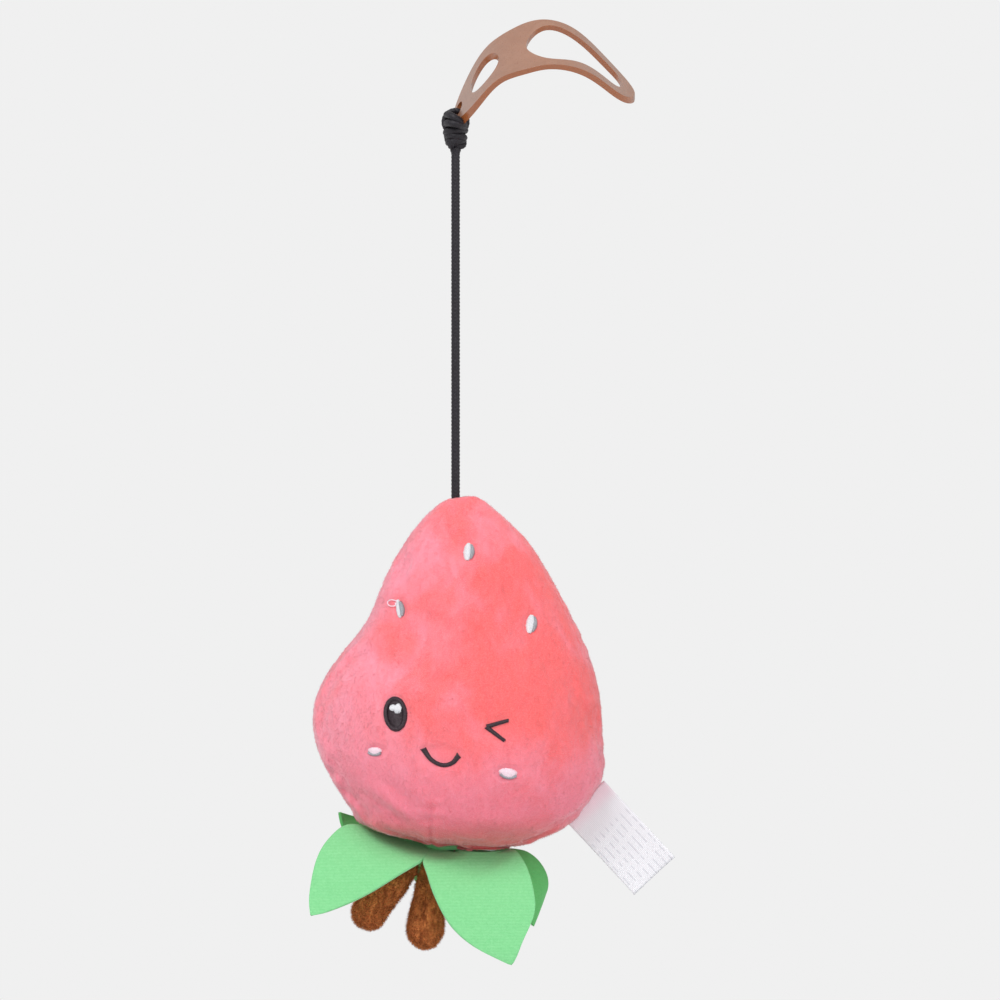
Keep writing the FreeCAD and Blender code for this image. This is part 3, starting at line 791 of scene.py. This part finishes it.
class Stitches:
    """Threads laid over a panel, side by side."""

    def __init__(self, tree, behind=False, seed=0):
        self.tree, self.behind = tree, behind
        self.parts = Parts()
        self.random = np.random.default_rng(seed)

    def on_skin(self, x, z):
        far, way = (FAR, -1.0) if self.behind else (-FAR, 1.0)
        place, normal, _, _ = self.tree.ray_cast(Vector((x, far, z)), Vector((0, way, 0)))
        normal = np.array(normal)
        return np.array(place), normal if normal[1] * way < 0 else -normal

    def thread(self, start, end, radius, crown, lift):
        """One stitch: its ends go into the cloth, and its middle stands up by crown."""
        path = []
        for t in np.linspace(0, 1, 6):
            x, z = np.asarray(start) * (1 - t) + np.asarray(end) * t
            place, normal = self.on_skin(x, z)
            rise = lift + crown * math.sin(math.pi * t) - (0.55 if t in (0.0, 1.0) else 0.0)
            path.append(place + normal * rise)
        self.parts.add(*tube(path, radius * (1 + 0.12 * self.random.uniform(-1, 1)), 6))

    def oval(self, x, z, wide, high, lean=0.0, upright=False, spacing=0.30, radius=0.22, crown=0.35,
             lift=0.1):
        """Satin stitches across a leaning oval, or down it if upright."""
        lean = math.radians(lean)
        right = np.array([math.cos(lean), math.sin(lean)])
        up = np.array([-math.sin(lean), math.cos(lean)])
        over, along, half, reach = right, up, high / 2, wide / 2
        if upright:
            over, along, half, reach = up, right, wide / 2, high / 2
        count = int(2 * half / spacing)
        for k in range(count + 1):
            t = -1 + 2 * (k + 0.5) / (count + 1)
            out = reach * math.sqrt(1 - t * t) * (1 + 0.05 * self.random.uniform(-1, 1))
            middle = np.array([x, z]) + along * t * half
            self.thread(middle - over * out, middle + over * out, radius, crown * (out / reach), lift)

    def stroke(self, points, width, spacing=0.28, radius=0.2, crown=0.3, lift=0.1):
        """Short stitches across a line of (x, z) points. width runs from 0 to 1 along it."""
        line = smooth_line([(x, 0.0, z) for x, z in points], 200)[:, [0, 2]]
        reach = run_along(line)
        count = int(reach[-1] / spacing)
        tangents = unit(np.gradient(line, axis=0))
        for k in range(count + 1):
            t = (k + 0.5) / (count + 1)
            place = np.array([np.interp(t * reach[-1], reach, line[:, 0]),
                              np.interp(t * reach[-1], reach, line[:, 1])])
            tangent = np.array([np.interp(t * reach[-1], reach, tangents[:, 0]),
                                np.interp(t * reach[-1], reach, tangents[:, 1])])
            side = np.array([-tangent[1], tangent[0]]) + 0.25 * tangent
            out = width(t) / 2 * (1 + 0.06 * self.random.uniform(-1, 1))
            self.thread(place - side * out, place + side * out, radius, crown, lift)

    def piece(self, name, node, material, slot):
        piece = self.parts.piece(name, material)
        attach(piece, "strawberry")
        if node:
            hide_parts(node)


def oval_of(node):
    """Middle (x, z) and size of a CAD patch of embroidery."""
    low, high = cad_box(node)
    return (low[0] + high[0]) / 2, (low[2] + high[2]) / 2, high[0] - low[0], high[2] - low[2]


WINK = [(-2.3, -223.3), (-10.0, -225.4), (-3.6, -230.3)]
SMILE = [(-31.5, -232.8), (-28.8, -236.6), (-24.9, -238.5), (-21.5, -237.7), (-19.2, -235.0)]


def make_face(front, black, white, grey, pale):
    x, z, wide, high = oval_of("eye")
    eye = Stitches(front, seed=1)
    eye.oval(x, z, wide - 1.2, high - 1.2, lean=4, spacing=0.32, radius=0.22)
    turn = np.linspace(0, 2 * math.pi, 25)
    tilt = math.radians(4)
    out_x, out_z = (wide / 2 - 0.75) * np.cos(turn), (high / 2 - 0.75) * np.sin(turn)
    rim = [(x + a * math.cos(tilt) - b * math.sin(tilt), z + a * math.sin(tilt) + b * math.cos(tilt))
           for a, b in zip(out_x, out_z)]
    eye.stroke(rim, lambda t: 1.35, radius=0.24, crown=0.45, lift=0.22)
    eye.piece("eye_stitches", "eye", black, "thread_black")

    x, z, wide, high = oval_of("eye_glint")
    glint = Stitches(front, seed=2)
    glint.oval(x - 0.9, z + 0.2, 2.1, 2.4, lean=20, upright=True, radius=0.2, crown=0.25, lift=0.75)
    glint.oval(x + 0.7, z - 0.1, 2.5, 3.7, lean=-14, upright=True, radius=0.2, crown=0.3, lift=0.8)
    glint.piece("eye_glint_stitches", "eye_glint", white, "thread_white")

    wink = Stitches(front, seed=3)
    for end in (WINK[0], WINK[2]):
        middle = [(np.array(WINK[1]) * (1 - t) + np.array(end) * t).tolist() for t in (0.0, 0.5, 1.0)]
        wink.stroke(middle, lambda t: 1.5 - 0.4 * t, lift=0.18)
    wink.piece("wink_stitches", "wink", black, "thread_black")

    smile = Stitches(front, seed=4)
    smile.stroke(SMILE, lambda t: 1.35 + 0.7 * abs(2 * t - 1) ** 2.5, lift=0.18)
    smile.piece("smile_stitches", "smile", black, "thread_black")

    for name, lean in (("cheek_left", 0), ("cheek_right", -8)):
        x, z, wide, high = oval_of(name)
        cheek = Stitches(front, seed=5)
        cheek.oval(x, z + 0.15, wide, high - 0.3, lean=lean, spacing=0.28, lift=0.22)
        cheek.piece(name + "_stitches", name, pale, "thread_pale_pink")
        edge = Stitches(front, seed=6)
        tilt = math.radians(lean)
        line = [(x + s * wide / 2 * math.cos(tilt), z - 0.2 + s * wide / 2 * math.sin(tilt)
                 - (1 - s * s) * high * 0.42) for s in (-0.85, -0.4, 0.0, 0.4, 0.85)]
        edge.stroke(line, lambda t: 0.8, crown=0.25, lift=0.42)
        edge.piece(name + "_edge", None, grey, "thread_grey")


def make_seeds(panels, white, grey):
    leans = {"seed_top": 6, "seed_left": -8, "seed_right": 8, "seed_back_top": 0, "seed_back_left": -8,
             "seed_back_right": 8}
    for name, lean in leans.items():
        behind = "back" in name
        x, z, wide, high = oval_of(name)
        tree = panels["back_panel" if behind else "front_panel"]
        seed = Stitches(tree, behind, seed=7)
        seed.oval(x - 0.35, z, wide - 0.7, high, lean=-lean, spacing=0.3, lift=0.3, crown=0.4)
        seed.piece(name + "_stitches", name, white, "thread_white")
        side = Stitches(tree, behind, seed=8)
        tilt = math.radians(-lean)
        line = [(x + wide * 0.30 * math.sqrt(1 - s * s) - s * high / 2 * math.sin(tilt),
                 z + s * high / 2 * math.cos(tilt)) for s in (-0.8, -0.4, 0.0, 0.4, 0.8)]
        side.stroke(line, lambda t: 1.5 - 1.1 * abs(2 * t - 1) ** 2, crown=0.35, lift=0.5)
        side.piece(name + "_edge", None, grey, "thread_grey")


def make_thread_curl(front, material):
    """A loose thread end that curls up beside the left seed."""
    x, z, _, _ = oval_of("seed_left")
    stitches = Stitches(front, seed=9)
    turn = np.linspace(0.3, 2.2 * math.pi, 40)
    path = []
    for k, t in enumerate(turn):
        at_x, at_z = x - 2.4 + (1.9 - 0.15 * t) * math.cos(t), z + 1.6 + (1.5 - 0.12 * t) * math.sin(t)
        place, normal = stitches.on_skin(at_x, at_z)
        path.append(place + normal * (0.3 + 0.5 * math.sin(math.pi * k / len(turn))))
    stitches.parts.add(*tube(path, 0.19, 8))
    stitches.piece("seed_left_loose_end", None, material, "thread_pale_pink")


# ---- felt ----

FELT_HALF_T = 0.6
STAR_CENTRE = np.array([-29.0, 0.0, -269.7])
BULGE_Z = -255.0                            # each wedge bulges away from this height over the star's centre
NOTCH_R = 13.3
NOTCH_Z = {257: -272.9, 329: -270.4, 41: -270.6, 113: -270.2, 185: -266.0}     # by azimuth
PETALS = {
    "leaf_front_left": (
        185, [(-50, -3.5, -263.0), (-57.9, -8, -260.8), (-63.7, -12, -264.4), (-68.3, -17, -271.3),
              (-70.7, -22, -283.2), (-70.2, -25, -290.7)],
        257, [(-39.8, -18, -277.2), (-49.1, -21, -282.8), (-57.3, -23.5, -286.7), (-65.7, -25, -289.8),
              (-70.2, -25, -290.7)], 1.5),
    "leaf_front_right": (
        257, [(-30.8, -16, -276.3), (-28.3, -20, -283.5), (-24.2, -23, -291.5), (-19.4, -25, -297.2),
              (-12.3, -26, -302.4), (-1.4, -26, -307.4)],
        329, [(-9, -7, -270.7), (-1.1, -7, -269.8), (1.3, -10, -271), (4.3, -14, -275.8), (6.4, -18, -283.2),
              (6.6, -21, -290.6), (1.9, -25, -300.8), (-1.4, -26, -307.4)], 2.2),
    "leaf_right": (
        329, [(-6, -4, -276), (1, -2, -284), (4.5, 3, -292), (6.3, 8, -298)],
        41, [(-0.4, 10, -271.5), (5.6, 11, -273.3), (9.8, 11, -277.6), (11.5, 11, -283.2), (9.9, 10, -288.6),
             (6.3, 8, -298)], 1.6),
    "leaf_back": (
        41, [(-10, 18, -277), (-7, 24, -285), (-9, 28, -294), (-17, 30, -303)],
        113, [(-37, 19, -277.5), (-34, 26, -286), (-25, 29, -294), (-20.5, 30, -299), (-17, 30, -303)], 1.8),
    "leaf_back_left": (
        113, [(-42, 22, -270), (-50, 27, -265), (-56, 26, -261.5), (-62.1, 21, -259)],
        185, [(-50, 5, -271), (-57, 13, -268.5), (-60.9, 19, -264.2), (-62.1, 21, -259)], 1.2),
}


def notch(azimuth):
    """Where two wedges of the star meet at its rim, at an azimuth in degrees."""
    turn = math.radians(azimuth)
    return (STAR_CENTRE[0] + NOTCH_R * math.cos(turn), NOTCH_R * math.sin(turn), NOTCH_Z[azimuth])


def felt_middle(first_azimuth, first_edge, second_azimuth, second_edge, bulge, panels):
    """The middle surface of one wedge of the star, from the star's middle to the petal's tip."""
    rows, columns = 64, 40
    seam = np.array([0, SEAM_Y, 0])
    first = smooth_line([STAR_CENTRE, notch(first_azimuth)] + first_edge, rows) + seam
    second = smooth_line([STAR_CENTRE, notch(second_azimuth)] + second_edge, rows) + seam
    s = np.linspace(0, 1, columns)[None, :, None]
    grid = first[:, None] * (1 - s) + second[:, None] * s
    out = unit(grid - np.array([STAR_CENTRE[0], SEAM_Y, BULGE_Z]))
    t = np.linspace(0, 1, rows)[:, None, None]
    grid = grid + out * bulge * (4 * s * (1 - s)) * np.sin(math.pi * np.clip(t, 0, 1)) ** 0.7
    least = 0.25 + FELT_HALF_T
    for _ in range(3):
        for i, j in np.ndindex(rows, columns):
            for tree in panels.values():
                place, _, _, gap = tree.find_nearest(Vector(grid[i, j]))
                away = grid[i, j] - np.array(place)
                outward = np.array(place) - BODY_MIDDLE
                inside = away @ outward < 0
                if inside or gap < least:
                    step = unit(outward) if inside else unit(away)
                    grid[i, j] = np.array(place) + step * least
        blurred = grid.copy()
        blurred[1:-1, 1:-1] = (grid[1:-1, 1:-1] * 2 + grid[:-2, 1:-1] + grid[2:, 1:-1] + grid[1:-1, :-2]
                               + grid[1:-1, 2:]) / 6
        for edge in (0, -1):
            blurred[1:-1, edge] = (2 * grid[1:-1, edge] + grid[:-2, edge] + grid[2:, edge]) / 4
        grid = blurred
    return grid


def make_petal(name, spec, panels, material):
    """One wedge of the star: two faces of felt joined all round its border."""
    grid = felt_middle(*spec, panels)
    rows, columns = grid.shape[:2]
    normals = unit(np.cross(np.gradient(grid, axis=0), np.gradient(grid, axis=1)))
    normals[0] = normals[1:4].mean(axis=(0, 1))
    normals[-1] = normals[-4:-1].mean(axis=(0, 1))
    normals = unit(normals)
    wave = bumps(grid.reshape(-1, 3), 11, 31).reshape(rows, columns, 1)
    matted = bumps(grid.reshape(-1, 3), 1.2, 32).reshape(rows, columns, 1)
    grid = grid + normals * 0.35 * wave
    over = grid + normals * (FELT_HALF_T + 0.05 * matted)
    under = grid - normals * (FELT_HALF_T - 0.05 * matted)
    faces = grid_faces(rows, columns)
    size = rows * columns
    both = faces + [tuple(k + size for k in face[::-1]) for face in faces]
    border = ([i * columns for i in range(rows)] + [(rows - 1) * columns + j for j in range(1, columns)]
              + [i * columns + columns - 1 for i in range(rows - 2, -1, -1)]
              + [j for j in range(columns - 2, 0, -1)])
    for a, b in zip(border, border[1:] + border[:1]):
        both.append((a, a + size, b + size, b))
    points = np.vstack([over.reshape(-1, 3), under.reshape(-1, 3)])
    petal = mesh_piece(name + "_felt", points, both, material)
    mesh = bmesh.new()
    mesh.from_mesh(petal.data)
    bmesh.ops.recalc_face_normals(mesh, faces=mesh.faces)
    mesh.to_mesh(petal.data)
    mesh.free()
    hinge = joint_place(name + "_flex")
    outward = hinge - (STAR_CENTRE + (0, SEAM_Y, 0))
    outward[2] = 0
    outward = unit(outward)
    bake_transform(petal)
    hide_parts(name)


def make_star_centre(material):
    """The sewn middle of the star: an oval plug that closes most of the gap between felt and body."""
    middle_x, half_x, half_y = -20.5, 11.5, 4.2
    top_z, depth = -266.2, 4.0
    rows, sides = 10, 48
    turn = np.arange(sides) * (2 * math.pi / sides)
    rings = []
    for t in np.linspace(0, 1, rows):
        size = 1.0 - 0.06 * math.cos(math.pi * t) - 0.10 * t ** 4
        rings.append(np.stack([middle_x + half_x * size * np.cos(turn), SEAM_Y + half_y * size * np.sin(turn),
                               np.full(sides, top_z - depth * t)], axis=1))
    points = np.vstack(rings)
    points += 0.15 * (bumps(points, 2.5, 35) * np.cos(np.tile(turn, rows)))[:, None]
    centre = mesh_piece("calyx_centre_felt", points, capped_faces(rows, sides), material)
    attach(centre, "strawberry")
    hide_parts("calyx_centre")


# ---- legs ----


LEG_PILE_COUNT = 9000


def make_leg(name, material, seed):
    """A stuffed plush leg, drop-shaped, with its pile."""
    neck_r, under_pile = 3.5, 0.3
    low, high = cad_box(name)
    foot_r = (high[1] - low[1]) / 2
    top = joint_place(name + "_swing")
    foot_x = low[0] + foot_r if top[0] - low[0] > foot_r + 0.5 else (low[0] + high[0]) / 2
    foot = np.array([foot_x, SEAM_Y, low[2] + foot_r])
    length = np.linalg.norm(foot - top)
    axis = unit(foot - top)
    turn = np.linspace(0.04, math.pi / 2, 14)
    neck = [(-neck_r * math.cos(t), neck_r * math.sin(t)) for t in turn]
    side = [(length * t, neck_r + (foot_r - neck_r) * t * (1.25 - 0.25 * t))
            for t in np.linspace(0, 1, 30)[1:-1]]
    end = [(length + foot_r * math.sin(t), foot_r * math.cos(t))
           for t in np.linspace(0, math.pi / 2 - 0.04, 22)]
    profile = np.array(neck + side + end)
    rows, sides = len(profile), 96
    radii = np.maximum(profile[:, 1] - under_pile, 0.05)
    points, faces = tube(top + np.outer(profile[:, 0], axis), radii, sides)
    grid = points.reshape(rows, sides, 3)
    normals = grid_normals(grid)
    middle = top + np.outer(np.clip(profile[:, 0], 0, length), axis)
    outward = unit(grid - middle[:, None])
    normals = np.where((normals * outward).sum(axis=2, keepdims=True) < 0, -normals, normals)
    flat = grid.reshape(-1, 3)
    height = 0.45 * bumps(flat, 6, seed) + 0.22 * bumps(flat, 2.2, seed + 1)
    height += 0.1 * bumps(flat, 0.8, seed + 2)
    if name == "leg_right":
        crease, _ = segment_distance(flat[:, [0, 2]], top[[0, 2]] + (-1.5, -4), foot[[0, 2]] + (-1.5, -2))
        height -= 0.7 * hill(crease, 0.8) * (flat[:, 1] < SEAM_Y)
    grid = (flat + normals.reshape(-1, 3) * height[:, None]).reshape(grid.shape)
    skin = mesh_piece(name + "_plush", grid.reshape(-1, 3), faces, material)
    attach(skin, name)
    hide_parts(name, name + "_stuffing")

    random = np.random.default_rng(seed)
    wrapped = np.concatenate([grid, grid[:, :1]], axis=1)
    place, row, column = scattered(wrapped, LEG_PILE_COUNT, random)
    normal = normals[row, column]
    comb = unit(0.75 * axis + 0.7 * np.stack([bumps(place, 5, seed + k) for k in (4, 5, 6)], axis=1))
    lean = unit(normal + 0.8 * comb + 0.45 * random.normal(size=place.shape))
    lengths = 1.0 + 0.7 * random.random((len(place), 1))
    fibre = fibres(place - 0.15 * normal, lean, lengths, 0.11, normal)
    pile = mesh_piece(name + "_pile", *fibre, material)
    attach(pile, name)


def fibres(roots, ways, lengths, radius, normals):
    """Points and faces of thin closed pyramids, one fibre each."""
    first = unit(np.cross(ways, normals + 0.01 * np.array([0.3, 0.5, 0.8])))
    second = np.cross(ways, first)
    corners = [roots + radius * (math.cos(t) * first + math.sin(t) * second)
               for t in (0, 2 * math.pi / 3, 4 * math.pi / 3)]
    points = np.stack(corners + [roots + ways * lengths], axis=1).reshape(-1, 3)
    faces = []
    for k in range(0, len(points), 4):
        faces += [(k, k + 2, k + 1), (k, k + 1, k + 3), (k + 1, k + 2, k + 3), (k + 2, k, k + 3)]
    return points, faces


# ---- label ----


LABEL_L, LABEL_W = 36.9, 19.5               # as it shows, folded in two, and across
LABEL_SIDE = np.array([0.73, 0.0, 0.68])    # across the ribbon, up to the right
LABEL_ALONG = np.array([0.68, 0.0, -0.73])  # from the seam to the fold


def make_label(material):
    """The care label: a ribbon folded in two, its ends sewn into the seam."""
    root = joint_place("label_flex")
    rows, columns = 80, 24
    over = np.linspace(-0.5, 0.5, columns) * LABEL_W
    bend_r = 0.35
    layers = []
    for t in np.linspace(0, 1, rows):
        run = t * 2 * LABEL_L
        if run <= LABEL_L - 0.5:
            down, back = run, -bend_r
        elif run < LABEL_L + 0.5:
            turn = (run - LABEL_L + 0.5) * math.pi
            down, back = LABEL_L - 0.5 + bend_r * math.sin(turn) * 1.3, -bend_r * math.cos(turn)
        else:
            down, back = 2 * LABEL_L - run, bend_r
        start = -3.4
        depth = back + 1.1 * math.sin(math.pi * down / LABEL_L * 0.9) - 0.6 * down / LABEL_L
        curl = 0.9 * (over / (LABEL_W / 2)) ** 2 * (down / LABEL_L)
        layers.append(root + np.outer(over, LABEL_SIDE) + LABEL_ALONG * (down + start)
                      + np.outer(depth - curl, (0, 1, 0)))
    points = np.array(layers).reshape(-1, 3)
    points[:, 1] += 0.25 * bumps(points, 9, 41)
    label = mesh_piece("care_label_ribbon", points, grid_faces(rows, columns), material)
    thicken = label.modifiers.new("thickness", "SOLIDIFY")
    thicken.thickness = 0.16 * MM
    thicken.offset = 0
    apply_modifiers(label)
    label.data.shade_smooth()
    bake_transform(label)
    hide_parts("care_label")


# ---- light ----

PALE = (0.871, 0.871, 0.871)                # the wall's colour behind the toy
FLOOR_Z, FLOOR_R, FLOOR_SIDES = -420.0, 3000.0, 64


def make_world():
    world = bpy.data.worlds.new("world")
    bpy.context.scene.world = world
    world.use_nodes = True
    tree = world.node_tree
    tree.nodes.clear()
    seen, lit = tree.nodes.new("ShaderNodeBackground"), tree.nodes.new("ShaderNodeBackground")
    seen.inputs["Color"].default_value = (*PALE, 1)
    lit.inputs["Color"].default_value = (1.0, 1.0, 1.0, 1)
    lit.inputs["Strength"].default_value = 0.56
    path = tree.nodes.new("ShaderNodeLightPath")
    mix = tree.nodes.new("ShaderNodeMixShader")
    out = tree.nodes.new("ShaderNodeOutputWorld")
    tree.links.new(path.outputs["Is Camera Ray"], mix.inputs[0])
    tree.links.new(lit.outputs[0], mix.inputs[1])
    tree.links.new(seen.outputs[0], mix.inputs[2])
    tree.links.new(mix.outputs[0], out.inputs["Surface"])


def make_floor():
    """A pale floor well below the toy. It fades into the wall's colour, so no line shows behind."""
    points = [(FLOOR_R * math.cos(t), FLOOR_R * math.sin(t), FLOOR_Z)
              for t in np.linspace(0, 2 * math.pi, FLOOR_SIDES, endpoint=False)]
    m = Material("floor")
    place = m.rest((1, 1, 0))
    away = m.node("VectorMath", {0: place}, operation="LENGTH").outputs["Value"]
    fade = m.slope(away, 0.35, 0.75)
    m.finish((0.80, 0.80, 0.80), 0.9)
    glow = m.node("Emission", {"Color": (*PALE, 1.0), "Strength": 1.0})
    mix = m.node("MixShader", {0: fade})
    out = m.tree.nodes["Material Output"]
    m.tree.links.new(m.shader.outputs[0], mix.inputs[1])
    m.tree.links.new(glow.outputs[0], mix.inputs[2])
    m.tree.links.new(mix.outputs[0], out.inputs["Surface"])
    mesh_piece("floor", points, [tuple(range(FLOOR_SIDES))], m.material)


def area_light(name, place, aim, size, power):
    data = bpy.data.lights.new(name, "AREA")
    data.shape = "DISK"
    data.size = size
    data.energy = power
    light = bpy.data.objects.new(name, data)
    bpy.context.scene.collection.objects.link(light)
    light.location = place
    light.rotation_euler = (Vector(aim) - Vector(place)).to_track_quat("-Z", "Y").to_euler()


def make_light():
    make_world()
    middle = (-0.02, 0.0, -0.19)
    area_light("key", (-0.55, -0.9, 0.85), middle, 0.8, 12)
    area_light("fill", (0.9, -0.9, 0.3), middle, 1.1, 5)
    bpy.context.scene.view_settings.view_transform = "Standard"


# ---- the whole ----

make_camera()
black_cord = cord_black()
cord_piece, cord_line = make_cord(black_cord)
knot_piece = make_knot(black_cord)
anchor = frame["nodes"]["anchor_knot"]
anchor.data.materials.clear()
anchor.data.materials.append(black_cord)
finish_clip(clip_plastic())
panels = make_body(plush_pink(), fibre_fill())
thread_black = thread("thread_black", (0.013, 0.005, 0.009), (0.050, 0.026, 0.038), 0.40)
thread_white = thread("thread_white", (0.68, 0.68, 0.72), (0.86, 0.86, 0.89), 0.4)
thread_grey = thread("thread_grey", (0.27, 0.28, 0.31), (0.46, 0.47, 0.51), 0.45)
thread_pale_pink = thread("thread_pale_pink", (0.90, 0.66, 0.76), (0.95, 0.80, 0.86), 0.4)
make_face(panels["front_panel"], thread_black, thread_white, thread_grey, thread_pale_pink)
make_seeds(panels, thread_white, thread_grey)
make_thread_curl(panels["front_panel"], thread_pale_pink)
green = felt_green()
for name, spec in PETALS.items():
    make_petal(name, spec, panels, green)
make_star_centre(green)
brown = plush_brown()
make_leg("leg_left", brown, 51)
make_leg("leg_right", brown, 61)
make_label(satin_white(joint_place("label_flex"), LABEL_ALONG, LABEL_SIDE))
make_floor()
make_light()
